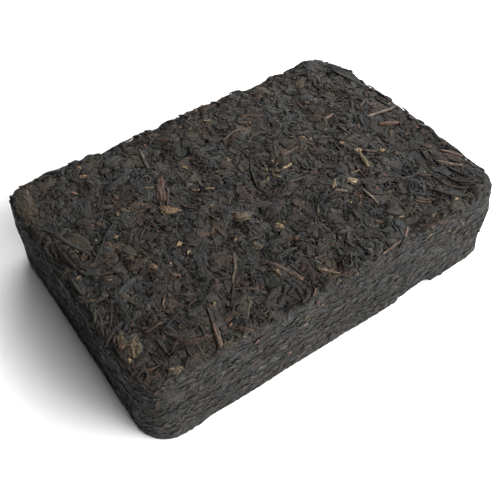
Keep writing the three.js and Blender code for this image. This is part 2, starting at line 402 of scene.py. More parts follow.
# The same leaf where the mould's wall pressed it into layers: slightly glossier, with a soft sheen over
# whole layers, and in a lighter, greyer copy of the top's colours. This is partly the pressed faces' own
# look and partly painted light that makes the sides a lit copy of the top's leaf.
side_leaf = leaf_finish(
    "tea leaf pressed in layers",
    shades=((0, 0x131211), (0.4, 0x201E1C), (0.75, 0x312E2B), (1, 0x4C463F)),
    hues=((0, 0xD0E8F4), (0.3, 0xE8F6F4), (0.6, 0xFCFFF0), (1, 0xFFE8D0)),
    roughness=(0.55, 0.75), crease=0.3, veins_and_ridge_light=1,
)
# Stems, buds and coarse leaf are creased deeper than rolled leaf, and are a little glossier.
WOODY = dict(roughness=(0.6, 0.85), crease=0.4)
# Leaf stalks, dried to wood: warm brown to grey-brown, streaked along the grain.
dry_stem = leaf_finish(
    "dried tea stem",
    shades=((0, 0x141210), (0.4, 0x302822), (0.75, 0x4D4037), (1, 0x776A5E)),
    hues=((0, 0xFFD8C4), (0.35, 0xFFEEE4), (0.6, 0xFFF9F2), (1, 0xEEF4DE)),
    veins_and_ridge_light=2, **WOODY,
)
# Young buds, rolled with the leaf: their down makes pale golden flecks with dark streaks.
golden_bud = leaf_finish(
    "rolled golden tea bud",
    shades=((0, 0x191612), (0.4, 0x393024), (0.75, 0x5D4F3B), (1, 0x897A61)),
    hues=((0, 0xFFDCC4), (0.5, 0xFFF6EE), (1, 0xF0F4E2)),
    veins_and_ridge_light=2, **WOODY,
)
# Coarser leaf, torn in the rolling: its inside shows as dull red-brown to olive-brown.
brown_leaf = leaf_finish(
    "torn brown tea leaf",
    shades=((0, 0x13100D), (0.4, 0x2A211A), (0.75, 0x44362B), (1, 0x675647)),
    hues=((0, 0xFFD2C4), (0.5, 0xFFF0E2), (1, 0xECF0D0)),
    veins_and_ridge_light=1.6, **WOODY,
)

# ---- shapes that repeat

# An edge runs along an axis where this share of its length does.
ALIGNED = 0.9
# Places on a unit shape that agree to this many decimals are the same.
SAME_PLACE_DECIMALS = 4


def as_data(name, mesh):
    """A finished mesh as the data of an object."""
    data = bpy.data.meshes.new(name)
    mesh.to_mesh(data)
    mesh.free()
    return data


def in_scene(name, data):
    """Puts something in the scene, at the origin and unturned."""
    made = bpy.data.objects.new(name, data)
    bpy.context.scene.collection.objects.link(made)
    return made


def parallel_edges(mesh, axis):
    """The edges of a blocky mesh that run along an axis."""
    found = []
    for edge in mesh.edges:
        way = edge.verts[1].co - edge.verts[0].co
        if abs(way[axis]) > ALIGNED * way.length:
            found.append(edge)
    return found


class Template:
    """A small closed shape, one unit long along y, as arrays that many pieces are made from."""

    def __init__(self, mesh):
        bmesh.ops.recalc_face_normals(mesh, faces=mesh.faces)
        data = as_data("template", mesh)
        piece = in_scene("template", data)
        bpy.context.view_layer.objects.active = piece
        piece.select_set(True)
        bpy.ops.object.mode_set(mode="EDIT")
        bpy.ops.mesh.select_all(action="SELECT")
        bpy.ops.uv.smart_project(angle_limit=1.15, island_margin=0.02, scale_to_bounds=True)
        bpy.ops.object.mode_set(mode="OBJECT")
        self.points = np.array([v.co for v in data.vertices])
        # Vertices that follow each other along y are on one line of the shape.
        section = np.round(self.points[:, [0, 2]], SAME_PLACE_DECIMALS)
        self.line = np.unique(section, axis=0, return_inverse=True)[1].ravel()
        self.corners = np.array([loop.vertex_index for loop in data.loops])
        self.starts = np.array([face.loop_start for face in data.polygons])
        self.unwrapped = np.array([loop.uv for loop in data.uv_layers.active.data])
        bpy.data.objects.remove(piece)
        bpy.data.meshes.remove(data)


def rod_template(sides, steps):
    """A rod along y, for rolled leaf and stems."""
    mesh = bmesh.new()
    bmesh.ops.create_cone(
        mesh, cap_ends=True, segments=sides, radius1=0.5, radius2=0.5, depth=1,
        matrix=Matrix.Rotation(-math.pi / 2, 4, "X"),
    )
    bmesh.ops.subdivide_edges(mesh, edges=parallel_edges(mesh, 1), cuts=steps - 1)
    return Template(mesh)


def fold_template(columns, steps):
    """A flat bar along y whose upper face has columns, for leaf that is creased along its length."""
    mesh = bmesh.new()
    bmesh.ops.create_cube(mesh, size=1)
    bmesh.ops.subdivide_edges(mesh, edges=parallel_edges(mesh, 1), cuts=steps - 1)
    upper = [edge for edge in parallel_edges(mesh, 0) if edge.verts[0].co.z > 0]
    bmesh.ops.subdivide_edges(mesh, edges=upper, cuts=columns - 1)
    return Template(mesh)


fold = fold_template(columns=9, steps=4)
small_fold = fold_template(columns=4, steps=3)
rod = rod_template(sides=5, steps=5)
strand = rod_template(sides=3, steps=3)
ring_rod = rod_template(sides=5, steps=12)
stem_rod = rod_template(sides=6, steps=7)


def single(lists):
    """Arrays one after another, as the one flat array of small numbers that a mesh takes."""
    return np.concatenate(lists).astype(np.float32).ravel()


def joined(name, material, slot, *parts):
    """One piece from many: each part is (template, points, tint, hue, lie), with a row for each copy."""
    points, corners, starts, tints, hues, lies, cells = [], [], [], [], [], [], []
    copies = sum(len(part[1]) for part in parts)
    across = math.ceil(math.sqrt(copies))
    point_count = corner_count = copy_count = 0
    for template, places, tint, hue, lie in parts:
        count, size = places.shape[:2]
        order = np.arange(count)[:, None]
        points.append(places.reshape(-1, 3) * MM)
        corners.append((template.corners + order * size + point_count).ravel())
        starts.append((template.starts + order * len(template.corners) + corner_count).ravel())
        tints.append(np.repeat(tint, size))
        hues.append(np.repeat(hue, size))
        lies.append(lie[:, template.corners].reshape(-1, 2))
        # Each copy has a cell of its own on the map that colours are baked to.
        cell = np.stack(np.divmod(order + copy_count, across), axis=-1)
        cells.append(((template.unwrapped + cell) / across).reshape(-1, 2))
        point_count += count * size
        corner_count += count * len(template.corners)
        copy_count += count
    data = bpy.data.meshes.new(name)
    data.vertices.add(point_count)
    data.loops.add(corner_count)
    data.polygons.add(sum(len(part) for part in starts))
    data.vertices.foreach_set("co", single(points))
    data.loops.foreach_set("vertex_index", np.concatenate(corners).astype(np.int32))
    data.polygons.foreach_set("loop_start", np.concatenate(starts).astype(np.int32))
    data.update(calc_edges=True)
    data.validate()
    data.shade_smooth()
    for quality, values in zip(QUALITIES, (tints, hues)):
        data.attributes.new(quality, "FLOAT", "POINT").data.foreach_set("value", single(values))
    data.uv_layers.new(name="lie").data.foreach_set("uv", single(lies))
    data.uv_layers.new(name="OFBake").data.foreach_set("uv", single(cells))
    finish_piece(name, data, material)


def finish_piece(name, data, material):
    """Puts a piece in the scene in place of the plain solid, with its finish."""
    piece = in_scene(name, data)
    data.materials.append(material)
    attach(piece, BODY)
    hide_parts(NODE)


# ---- the core

# How long the core's small faces are, before they follow the brick's form.
CORE_CELL = 0.62
# How far the core lies below the leaf's own surface: at the sides, and on the top.
CORE_SUNK_SIDES = 0.45
CORE_SUNK_TOP = 0.4
# Its finest lumps: how far apart two sets of them come, and how far each stands out.
CORE_LUMP_SIZES = (1.9, 3.4)
CORE_LUMP_HEIGHT = 0.25
# By the floor, its depth and its lumps are this share of what they are higher up.
CORE_LOW_SHARE = 0.3
# The lowest the core goes: by the edge, and under the middle, where leaf lies over it. The second
# holds over all but the edge, by this power of how far down the surface faces.
CORE_EDGE_LOW = 0.12
CORE_UNDER_LOW = 0.3
CORE_UNDER_POWER = 4


def make_core():
    """The block under the leaf, a little smaller than the brick."""
    mesh = bmesh.new()
    bmesh.ops.create_cube(mesh, size=1)
    for axis, size in enumerate((LENGTH, WIDTH, HEIGHT)):
        cuts = round(size / CORE_CELL) - 1
        bmesh.ops.subdivide_edges(mesh, edges=parallel_edges(mesh, axis), cuts=cuts)
    data = as_data("tea_core", mesh)
    unit = np.empty(len(data.vertices) * 3)
    data.vertices.foreach_get("co", unit)
    box_points = unit.reshape(-1, 3) * (LENGTH, WIDTH, HEIGHT) + (0, 0, HEIGHT / 2)
    points, normals = on_brick(box_points)
    fine_size, coarse_size = CORE_LUMP_SIZES
    fine = CORE_LUMP_HEIGHT * smooth_noise(points / fine_size + CORE_PLACE)
    coarse = CORE_LUMP_HEIGHT * smooth_noise(points / coarse_size)
    grown = smoothstep(points[:, 2], 0, RELIEF_FULL_ABOVE)
    grown = CORE_LOW_SHARE + (1 - CORE_LOW_SHARE) * grown
    sunk = CORE_SUNK_SIDES + (CORE_SUNK_TOP - CORE_SUNK_SIDES) * np.clip(normals[:, 2], 0, 1)
    points = points + normals * (grown * (fine + coarse - sunk))[:, None]
    facing_down = np.clip(-normals[:, 2], 0, 1) ** CORE_UNDER_POWER
    lowest = CORE_EDGE_LOW + (CORE_UNDER_LOW - CORE_EDGE_LOW) * facing_down
    points[:, 2] = np.maximum(points[:, 2], lowest)
    data.vertices.foreach_set("co", single([points * MM]))
    data.shade_smooth()
    data.update()
    # The core's near-black finish is partly painted shade in the gaps between leaves.
    finish_piece("tea_core", data, dust_and_gap_shade)


# ---- kinds of leaf

# A kind gives the limits that each of its pieces is drawn between. One number is a limit either way:
#   length, width, thickness
#   lift: how far its middle line lies above the bed
#   bend: how far it turns along its length
#   turn, twist: how far it is turned about its own length, and how much more from end to end
#   pitch: how steeply it rises from end to end
#   curl: how far its edges stand up, as a share of half its width
# and what its pieces have alike:
#   crease: how deep its creases are
#   waver, ends: how much its width varies, and what is left of it at the ends, as shares
#   blunt: its outline towards the ends, from 0 for square to 1 for oval
#   cap: the most that it stands out of the bed
#   tint: the two shape numbers of the spread of its shades
#   patch: how far its shade and hue drift over, where that isn't TINT_PATCH
FOLDED = dict(
    length=(3, 9), width=(1.5, 4), thickness=(0.25, 0.35), lift=(-0.35, 0), bend=0.9, turn=0.16,
    twist=0.4, pitch=0.05, curl=(-0.14, 0.1), crease=0.24, waver=0.25, ends=0.4, blunt=0.8, cap=0.4,
    tint=(3.5, 5),
)
BROKEN = dict(
    FOLDED, length=(1.2, 4.5), width=(0.7, 2), thickness=(0.2, 0.3), lift=(-0.25, 0.08), bend=0.6,
    turn=0.3, pitch=0.08, crease=0.13, ends=0.5, cap=0.35,
)
ROLLED = dict(
    length=(2.5, 12), width=(0.5, 1.3), thickness=(0.4, 0.7), lift=(-0.4, 0), bend=0.7, turn=0.5,
    twist=3, pitch=0.07, curl=0, crease=0.14, waver=0.3, ends=0.3, blunt=0.8, cap=0.55, tint=(3, 4.5),
)
STRAND = dict(
    length=(0.8, 4), width=(0.22, 0.5), thickness=(0.2, 0.32), lift=(-0.3, 0.06), bend=0.5,
    turn=(0, math.pi), twist=2, pitch=0.08, curl=0, crease=0.05, waver=0.45, ends=0.4, blunt=0.8,
    cap=0.32, tint=(3, 3.6),
)
CRUMB = dict(
    STRAND, length=(0.5, 1.8), width=(0.3, 0.9), thickness=(0.3, 0.5), lift=(-0.35, 0.15), pitch=0.2,
    crease=0.12,
)
CURLED = dict(
    length=(5, 8), width=(0.5, 0.8), thickness=(0.4, 0.6), lift=0.3, bend=(3.4, 5.6), turn=(0, math.pi),
    twist=4, pitch=0.05, curl=0, crease=0.08, waver=0.15, ends=0.4, blunt=0.7, cap=0.8, tint=(2.2, 2.6),
)
# Curled round until its ends nearly meet.
RING = dict(CURLED, bend=(5.9, 5.9))
LAYERED = dict(
    FOLDED, length=(1.2, 6.5), width=(0.45, 1.4), thickness=(0.15, 0.3), lift=(-0.36, -0.16), bend=0.4,
    turn=0.1, twist=0.3, pitch=0.03, curl=(-0.1, 0.06), crease=0.16, waver=0.45, ends=0.2, cap=0.08,
    tint=(3, 5), patch=(6, 6, 3),
)
LAYERED_STRAND = dict(
    STRAND, length=(0.6, 3.6), width=(0.16, 0.42), thickness=(0.14, 0.24), lift=(-0.22, -0.1), bend=0.7,
    pitch=0.03, ends=0.2, cap=0.06, tint=(3, 4.4), patch=(6, 6, 3),
)
STEM = dict(
    ROLLED, thickness=(0.5, 0.8), lift=(0, 0.2), bend=0.25, twist=0.4, pitch=0.02, crease=0.08,
    waver=0.12, ends=0.65, blunt=0.6, cap=1,
)
BUD = dict(
    STEM, thickness=(0.9, 1.2), lift=(0.15, 0.25), bend=0.08, twist=0.2, crease=0.1, waver=0.03,
    ends=0.12, blunt=1,
)
SHRED = dict(
    ROLLED, thickness=(0.7, 1), lift=(0, 0.25), bend=0.5, pitch=0.02, crease=0.2, waver=0.2, cap=1,
)
ARCHED_SHRED = dict(SHRED, bend=(0.7, 1), lift=(0.1, 0.3))
RIM = dict(
    ROLLED, length=(2.5, 8), width=(0.8, 1.9), lift=(-0.1, 0.6), pitch=0.12, crease=0.25, cap=1.2,
)
PLATE = dict(
    FOLDED, lift=(0.05, 0.2), bend=0.3, turn=0.12, twist=0.2, crease=0.2, waver=0.2, ends=0.3, cap=0.9,
)
FLAKE = dict(
    BROKEN, length=(0.8, 3), width=(0.4, 1.1), thickness=(0.15, 0.25), lift=(-0.12, 0.2), crease=0.12,
    ends=0.35, cap=0.7,
)
FIBRE = dict(STRAND, lift=(0, 0.25), bend=0.3, crease=0.03, cap=0.8)
# Under the brick nothing stands out of the flat face.
UNDER = dict(
    FOLDED, thickness=(0.12, 0.2), lift=(-0.3, -0.16), turn=0.03, twist=0.06, pitch=0.01, curl=0.03,
    crease=0.1, cap=0.04,
)
UNDER_STRAND = dict(
    STRAND, thickness=(0.14, 0.24), lift=(-0.24, -0.12), pitch=0.02, crease=0.03, cap=0.04,
)

# ---- laying the leaf

SEED = 20417
rng = np.random.default_rng(SEED)

# A kind's limits that are drawn evenly between. Its lengths are mostly short ones, by two shape numbers.
EVENLY_DRAWN = ("width", "thickness", "lift", "bend", "turn", "twist", "pitch", "curl")
LENGTH_SPREAD = (1.1, 2.0)
# A piece's place strays this far from the middle of its cell of the grid, as a share of the cell.
PLACE_STRAY = 0.5
# No piece is straighter than this, so that its arc has a radius.
LEAST_BEND = 0.02
# A piece's width wavers along it as a wave that turns this far from end to end. Its creases deepen and
# flatten at another pace, by a swing either way.
WAVE_TURN = (4, 10)
CREASE_PACE = 1.7
CREASE_SWING = 0.3
# Where a piece tapers away, this share of its thickness is left.
THIN_SHARE = 0.4
# The shade and the hue of the leaf drift from place to place, over this far and by this much.
TINT_PATCH = 5
TINT_DRIFT = 0.26
HUE_DRIFT = 0.55
# Each piece reads its own stretch of the pattern of veins, up to this far away.
PATTERN_REACH = 500


def spread(bed, count, margin=0):
    """Places on a bed in an uneven grid, so that they cover it evenly: arrays a and b."""
    long, wide = bed.size[0] - 2 * margin, bed.size[1] - 2 * margin
    columns = max(1, round(math.sqrt(count * long / wide)))
    rows = max(1, round(count / columns))
    column, row = np.divmod(np.arange(columns * rows), rows)
    a = (column + 0.5 + rng.uniform(-PLACE_STRAY, PLACE_STRAY, len(column))) / columns - 0.5
    b = (row + 0.5 + rng.uniform(-PLACE_STRAY, PLACE_STRAY, len(row))) / rows - 0.5
    return a * long, b * wide


def drawn(kind, count, chosen):
    """What each of a number of pieces is like, as columns. chosen gives what isn't left to chance."""
    column = {}
    for name in EVENLY_DRAWN:
        limits = kind[name] if isinstance(kind[name], tuple) else (-kind[name], kind[name])
        column[name] = rng.uniform(*limits, count)[:, None]
    shortest, longest = kind["length"]
    column["length"] = (shortest + (longest - shortest) * rng.beta(*LENGTH_SPREAD, count))[:, None]
    for name, values in chosen.items():
        column[name] = np.asarray(values, float)[:, None]
    return column


def shaped(template, kind, column):
    """How far each piece's points lie to the side of its middle line and above the bed, once it is
    tapered, creased, curled and twisted."""
    right, along, up = template.points.T
    width = column["width"]
    count = len(width)
    ends = kind["ends"]
    taper = ends + (1 - ends) * np.sqrt(np.clip(1 - (2 * along) ** 2, 0, 1)) ** kind["blunt"]
    wave = rng.uniform(0, FULL_TURN, (count, 1)) + along * rng.uniform(*WAVE_TURN, (count, 1))
    lines = template.line.max() + 1
    depth = 1 - CREASE_SWING + CREASE_SWING * np.sin(CREASE_PACE * wave)
    creases = rng.uniform(-1, 1, (count, lines))[:, template.line] * depth
    x = right * width * taper * (1 + kind["waver"] * np.sin(wave))
    y = up * column["thickness"] * (THIN_SHARE + (1 - THIN_SHARE) * taper)
    y = y + kind["crease"] * taper * creases
    y = y + column["curl"] * (2 * right) ** 2 * width / 2
    roll = column["turn"] + column["twist"] * along
    sideways = x * np.cos(roll) - y * np.sin(roll)
    height = x * np.sin(roll) + y * np.cos(roll)
    height = height + column["lift"] + column["pitch"] * along * column["length"]
    cap = kind["cap"]
    return sideways, np.where(height > 0, cap * np.tanh(height / cap), height)


def lay(template, bed, places, kind, headings, chosen=None):
    """Lays one piece of leaf at each place, along an arc on the bed: returns the template, and the
    points, tint, hue and lie of each copy."""
    a, b = places
    count = len(a)
    column = drawn(kind, count, chosen or {})
    sideways, height = shaped(template, kind, column)
    right, along, up = template.points.T
    heading = headings[:, None]
    bend = np.where(np.abs(column["bend"]) < LEAST_BEND, LEAST_BEND, column["bend"])
    angle = heading + bend * along
    radius = column["length"] / bend
    over_a = a[:, None] + radius * (np.sin(angle) - np.sin(heading)) + sideways * np.sin(angle)
    over_b = b[:, None] - radius * (np.cos(angle) - np.cos(heading)) - sideways * np.cos(angle)
    points, normals = on_brick(bed.box_points(over_a.ravel(), over_b.ravel()))
    points = points + normals * height.reshape(-1, 1)
    points[:, 2] = np.maximum(points[:, 2], 0)
    points = points.reshape(count, -1, 3)
    patches = points.mean(axis=1) / kind.get("patch", TINT_PATCH)
    tint = rng.beta(*kind["tint"], count) + TINT_DRIFT * smooth_noise(patches + TINT_PLACE)
    hue = rng.uniform(0, 1, count) + HUE_DRIFT * smooth_noise(patches + HUE_PLACE)
    if "shade" in column:
        tint, hue = column["shade"][:, 0], column["hue"][:, 0]
    girth = np.arctan2(up, right) / math.pi * (column["width"] + column["thickness"])
    away = rng.uniform(0, PATTERN_REACH, (count, 1))
    lie = np.stack([girth + away, along * column["length"] + away], axis=-1)
    return template, points, tint, hue, lie


# Over a bed, the headings of its patches turn by up to this many half turns either way.
GRAIN_HALF_TURNS = 1.2
# In a bundle, a strand strays by this share of the gap between strands, slides by up to so far along
# them, and splays by so much.
BUNDLE_STRAY = 0.2
BUNDLE_SLIDE = 1
BUNDLE_SPLAY = 0.12


def grain(a, b, size, stray):
    """Headings that change over the bed in patches of a size, and stray within each patch."""
    patch = flat_noise(a, b, size, GRAIN_PLACE)
    return patch * math.pi * GRAIN_HALF_TURNS + rng.uniform(-stray, stray, len(a))


def laid(template, bed, kind, count, patch=6, loose=1.0):
    """Leaf that lies every way, in patches whose pieces lie much alike."""
    places = spread(bed, count)
    return lay(template, bed, places, kind, grain(*places, patch, loose))


def bundled(template, bed, kind, count, strands, gap, patch, loose):
    """Strands that lie side by side in small bundles, as the ribs of a crushed leaf do."""
    a, b = spread(bed, count)
    heading = np.repeat(grain(a, b, patch, loose), strands)
    beside = np.tile(np.arange(strands) - (strands - 1) / 2, len(a)) * gap
    beside = beside + rng.normal(0, BUNDLE_STRAY * gap, len(beside))
    along = rng.uniform(-BUNDLE_SLIDE, BUNDLE_SLIDE, len(beside))
    a = np.repeat(a, strands) + beside * np.sin(heading) + along * np.cos(heading)
    b = np.repeat(b, strands) - beside * np.cos(heading) + along * np.sin(heading)
    return lay(template, bed, (a, b), kind, heading + rng.normal(0, BUNDLE_SPLAY, len(heading)))


def laid_level(template, kind, count, loose):
    """Leaf in layers on all four sides, which share the count by their lengths."""
    parts = []
    for bed in SIDES:
        places = spread(bed, share(count, bed))
        parts.append(lay(template, bed, places, kind, rng.normal(0, loose, len(places[0]))))
    return parts


def share(count, bed):
    """A side's share of a number of pieces, by its length."""
    return round(count * bed.size[0] / sum(side.size[0] for side in SIDES))


def placed(template, kind, rows, bed=TOP):
    """Leaf laid on a bed one by one: a row is its place, heading in degrees, length, width, shade and hue.
    """
    x, y, heading, length, width, shade, hue = np.array(rows, float).T
    chosen = dict(length=length, width=width, shade=shade, hue=hue)
    return lay(template, bed, (x, y), kind, np.radians(heading), chosen)


# A patch of torn leaf has a plate for so many square millimetres, and so many fibres for each one.
# Places and a plate's sizes vary by shares of the patch, and a fibre's size is its length and width.
# Shades, hues and headings in degrees vary by a mean and a spread.
PLATE_AREA = 5
PLATE_STRAY = 0.12
PLATE_SIZES = (0.7, 1.05)
PLATE_SHADE = (-0.06, 0.08)
PLATE_HUE = (0, 0.08)
PLATE_HEADING = (0, 15)
FIBRES_EACH = 1.3
FIBRE_STRAY = 0.5
FIBRE_SMALLEST = (0.5, 0.16)
FIBRE_LARGEST = (1.8, 0.36)
FIBRE_SHADE = (0.05, 0.2)
FIBRE_HUE = (0, 0.1)
FIBRE_HEADING = (0, 25)


def torn(patches):
    """Torn leaf over patches, whose rows are as those of placed: a plate or two, and fibres along them."""
    plates, fibres = [], []
    for x, y, heading, long, wide, shade, hue in patches:
        turn = math.radians(heading)
        way = np.array([[math.cos(turn), math.sin(turn)], [-math.sin(turn), math.cos(turn)]])
        for _ in range(max(1, round(long * wide / PLATE_AREA))):
            place = (x, y) + rng.normal(0, PLATE_STRAY, 2) * (long, wide) @ way
            size = (long, wide) * rng.uniform(*PLATE_SIZES, 2)
            shades = (shade + rng.normal(*PLATE_SHADE), hue + rng.normal(*PLATE_HUE))
            plates.append((*place, heading + rng.normal(*PLATE_HEADING), *size, *shades))
        for _ in range(round(FIBRES_EACH * long * wide) + 1):
            place = (x, y) + rng.uniform(-FIBRE_STRAY, FIBRE_STRAY, 2) * (long, wide) @ way
            size = rng.uniform(FIBRE_SMALLEST, FIBRE_LARGEST)
            shades = (shade + rng.normal(*FIBRE_SHADE), hue + rng.normal(*FIBRE_HUE))
            fibres.append((*place, heading + rng.normal(*FIBRE_HEADING), *size, *shades))
    return [placed(fold, PLATE, plates), placed(strand, FIBRE, fibres)]


def flecks(bed, count, shade, hue):
    """Small torn bits that lie every way on a bed. shade and hue are each a mean and a spread."""
    places = spread(bed, count)
    size = len(places[0])
    chosen = dict(shade=rng.normal(*shade, size), hue=rng.normal(*hue, size))
    return lay(small_fold, bed, places, FLAKE, rng.uniform(0, FULL_TURN, size), chosen)


# How the leaf on the upper edge is shared: front, back, left and right. It reaches in this far, and
# splays by this much.
RIM_SHARES = (0.08, 0.4, 0.26, 0.26)
RIM_REACH = 2.6
RIM_SPLAY = 0.6


def rimmed(count):
    """Rolled leaf along the upper edge: at the back and the ends more than at the front."""
    at = rng.uniform(-0.5, 0.5, count)
    edge = rng.choice(4, count, p=RIM_SHARES)
    inwards = rng.uniform(0, RIM_REACH, count)
    front_or_back = edge < 2
    sign = np.where(edge % 2 == 0, -1, 1)
    a = np.where(front_or_back, at * LENGTH, sign * (LENGTH / 2 - inwards))
    b = np.where(front_or_back, sign * (WIDTH / 2 - inwards), at * WIDTH)
    headings = np.where(front_or_back, 0, math.pi / 2) + rng.normal(0, RIM_SPLAY, count)
    return lay(rod, TOP, (a, b), RIM, headings)


def curled(count, margin, headings):
    """Curls of leaf that keep clear of the bed's edge, each turned between two headings."""
    places = spread(TOP, count, margin)
    return lay(ring_rod, TOP, places, CURLED, rng.uniform(*headings, len(places[0])))


# ---- what is listed one by one

# What stands out of the top, by place. A row is x, y, heading, length, width, shade and hue. Shades run
# from dark to pale, and hues from red over brown to olive, or in dark leaf from blue over brown to red.
STEMS = (
    (-24.9, 15, -117, 13, 0.9, 0.3, 0.1),
    (-24.4, 15.5, -112, 10, 0.9, 0.42, 0.1),
    (-23.6, 12, -121, 9, 0.8, 0.3, 0.2),
    (-21, 31.5, -104, 11, 1.2, 0.45, 0.9),
    (-21.5, -21.5, -122, 8, 1, 0.5, 0.55),
    (-25, -26, -132, 4, 0.9, 0.4, 0.9),
    (-12, -32.5, -64, 11.5, 1.8, 0.38, 0.12),
    (19, 6.5, 2, 7, 0.9, 0.55, 0.45),
    (12, -5.5, -8, 5.5, 0.8, 0.4, 0.1),
    (20.5, -14, -137, 4.5, 1, 0.85, 0.8),
    (20.5, -17.5, -42, 4, 1, 0.7, 0.7),
    (40.5, 13.5, 1, 4.5, 1.2, 0.6, 0.45),
    (8.5, 25, 4, 8, 1, 0.4, 0.5),
    (19.5, 29, -36, 9, 0.9, 0.35, 0.2),
    (39.5, 4.5, -83, 5, 0.8, 0.4, 0.4),
    (56, 4.5, -3, 12, 1.1, 0.7, 0.55),
    (40, -8, -36, 4.5, 0.7, 0.5, 0.2),
    (26.3, -24.3, -90, 7, 1.8, 0.45, 0.85),
    (60.8, -24.2, -64, 7.5, 1.7, 0.62, 0.35),
    (59.6, -25.6, -66, 5.5, 0.8, 0.7, 0.3),
    (56.2, -27.6, -52, 8.5, 1.4, 0.64, 0.75),
    (36.5, -19.5, -36, 3, 1, 0.5, 0.1),
    (42, -25, -10, 7.5, 0.5, 0.4, 0.3),
    (38, -35, -41, 5, 0.6, 0.6, 0.15),
    (38.8, -34, -41, 4, 0.6, 0.5, 0.15),
    (53, 11, 24, 3, 0.7, 0.6, 0.5),
    (25, -42, -143, 6.5, 1, 0.8, 0.3),
    (18, -43.5, -174, 8.5, 0.9, 0.5, 0.2),
    (-1, -34.5, -7, 4, 1, 0.4, 0.35),
    (-9.5, -43.5, -128, 3.5, 0.7, 0.75, 0.3),
    (-19, 1, -67, 15, 0.5, 0.42, 0.25),
    (-37.5, -16, -36, 2.5, 0.9, 0.6, 0.15),
    (-52, -28, -4, 5.5, 1, 0.3, 0.1),
)
GOLDEN_STEMS = (
    (35.5, -10.4, -107, 8, 1.9, 0.52, 0.9),
    (14, 1.5, 5, 4, 1, 0.85, 0.7),
    (-2, -39.5, -45, 7, 1, 0.5, 0.8),
    (-15, 10, -36, 2.5, 0.8, 0.6, 0.2),
    (-11.5, 7.5, -36, 3, 0.8, 0.65, 0.4),
    (5, 35.5, -36, 3.5, 1, 0.5, 0.7),
    (10.5, -19, -128, 3.5, 0.7, 0.4, 0.9),
    (30, -13, -5, 3, 0.6, 0.6, 0.6),
)
BUDS = (
    (54, -1.5, -28, 7.5, 2.2, 0.6, 0.03),
    (-39.5, -40, -108, 8.5, 2, 0.5, 0.35),
)
GOLDEN_PATCHES = (
    (-10.5, -8.5, -36, 5, 3.6, 0.5, 0.7),
    (-3.3, -17, -36, 2.7, 1.5, 0.8, 0.4),
    (-2.7, -18.1, -100, 2.3, 1.3, 0.76, 0.3),
    (-13, -19.5, -36, 3.2, 2.4, 0.42, 0.6),
    (-61, -27, -90, 4, 2.4, 0.42, 0.2),
    (-58.5, -29.5, -100, 6, 3, 0.42, 0.7),
    (-62, -33, -90, 1.3, 1, 0.85, 0.6),
    (-31, -6.5, 0, 1.7, 1.5, 0.9, 0.4),
    (-44.5, 7, -90, 1.7, 1, 0.85, 0.5),
    (-26, 7, -36, 6.3, 2, 0.58, 0.15),
    (-41, 35, -36, 3.3, 1.2, 0.8, 0.4),
    (-26.5, 19, -36, 2.7, 1, 0.65, 0.2),
    (-12.5, 20.5, -36, 2.7, 1, 0.8, 0.5),
    (-46, 14.5, -36, 2.7, 1, 0.6, 0.4),
    (12, 6.5, 90, 1.3, 1, 0.95, 0.6),
    (8.2, 4.4, -110, 3.8, 1.1, 0.6, 0.7),
    (9.8, 1.8, -40, 4, 1.2, 0.52, 0.8),
    (8.6, -0.4, -70, 3.4, 1.3, 0.6, 0.6),
    (6, 0.5, 0, 1.3, 1.3, 0.75, 0.5),
    (14, 25, 0, 1, 1, 0.85, 0.4),
    (-15, 0.5, 0, 1.5, 1.3, 0.6, 0.6),
    (35, 0, -36, 2, 1, 0.75, 0.4),
    (26.5, -16, -36, 4, 2.3, 0.7, 0.6),
    (20.7, -13.6, -125, 4, 1.8, 0.7, 0.6),
    (37, -5.5, 0, 2.5, 2.2, 0.72, 0.3),
    (43.5, -10, -36, 2.3, 1.4, 0.85, 0.5),
    (-14, -32, -60, 2.7, 2.2, 0.7, 0.2),
    (-53.5, -43, -36, 4, 2, 0.52, 0.85),
)
BROWN_PATCHES = (
    (-24.3, 14.5, -116, 10, 1.8, 0.5, 0),
    (-42, -10, -100, 3.4, 2.2, 0.62, 0.3),
    (-45.5, -3, -36, 2.7, 1.7, 0.45, 0.9),
    (-50, 1.5, -36, 2.7, 1.7, 0.4, 0.9),
    (-56, -23.5, 0, 1.7, 1.3, 0.4, 0),
    (-48, 6, 0, 1.7, 1.3, 0.35, 0),
    (-48, -41.5, -36, 3.3, 1, 0.5, 0.9),
    (-38.5, -44, -36, 4.3, 2.5, 0.4, 0.9),
    (-32, -42, -36, 5, 2.5, 0.4, 0.1),
    (-22, -32.5, 0, 2, 2, 0.35, 0),
    (-1.5, -24.5, 0, 2.7, 2.7, 0.6, 0.1),
    (-38, 20, -100, 2.3, 1.3, 0.7, 0.4),
    (-11, 35, -36, 2.7, 2, 0.55, 0.1),
    (19, -5.5, -36, 2.7, 1.3, 0.55, 0.05),
    (4, -5.5, 0, 1.3, 1.3, 0.5, 0),
    (2.5, -11, 0, 1.3, 1.3, 0.75, 0.1),
    (26, 9.5, -36, 2, 1.3, 0.8, 0.5),
    (60, -8.5, -36, 1.7, 1.3, 0.8, 0.1),
    (23.2, -22, -110, 3.4, 2, 0.72, 0.05),
    (21.5, -33.5, -100, 2.7, 1.3, 0.8, 0.2),
    (57, -17.5, -100, 4, 2.7, 0.45, 0.2),
    (-61.5, 35.5, -90, 11, 5, 0.33, 0.85),
    (61.5, -19.5, -36, 2, 1.3, 0.75, 0.4),
    (-46, -37, -41, 10, 1.4, 0.35, 0.05),
    (37, 1, -59, 8, 1.2, 0.4, 0.25),
    (50.8, -7.6, -28, 4.5, 1.3, 0.42, 0.4),
    (26.3, 3.2, -101, 3.5, 0.9, 0.5, 0.25),
    (28.5, -33, -40, 5, 3.6, 0.22, 0.95),
    (47, -27, -30, 5, 1.4, 0.3, 0.3),
    (52, -33, -55, 6, 1.2, 0.28, 0.4),
)
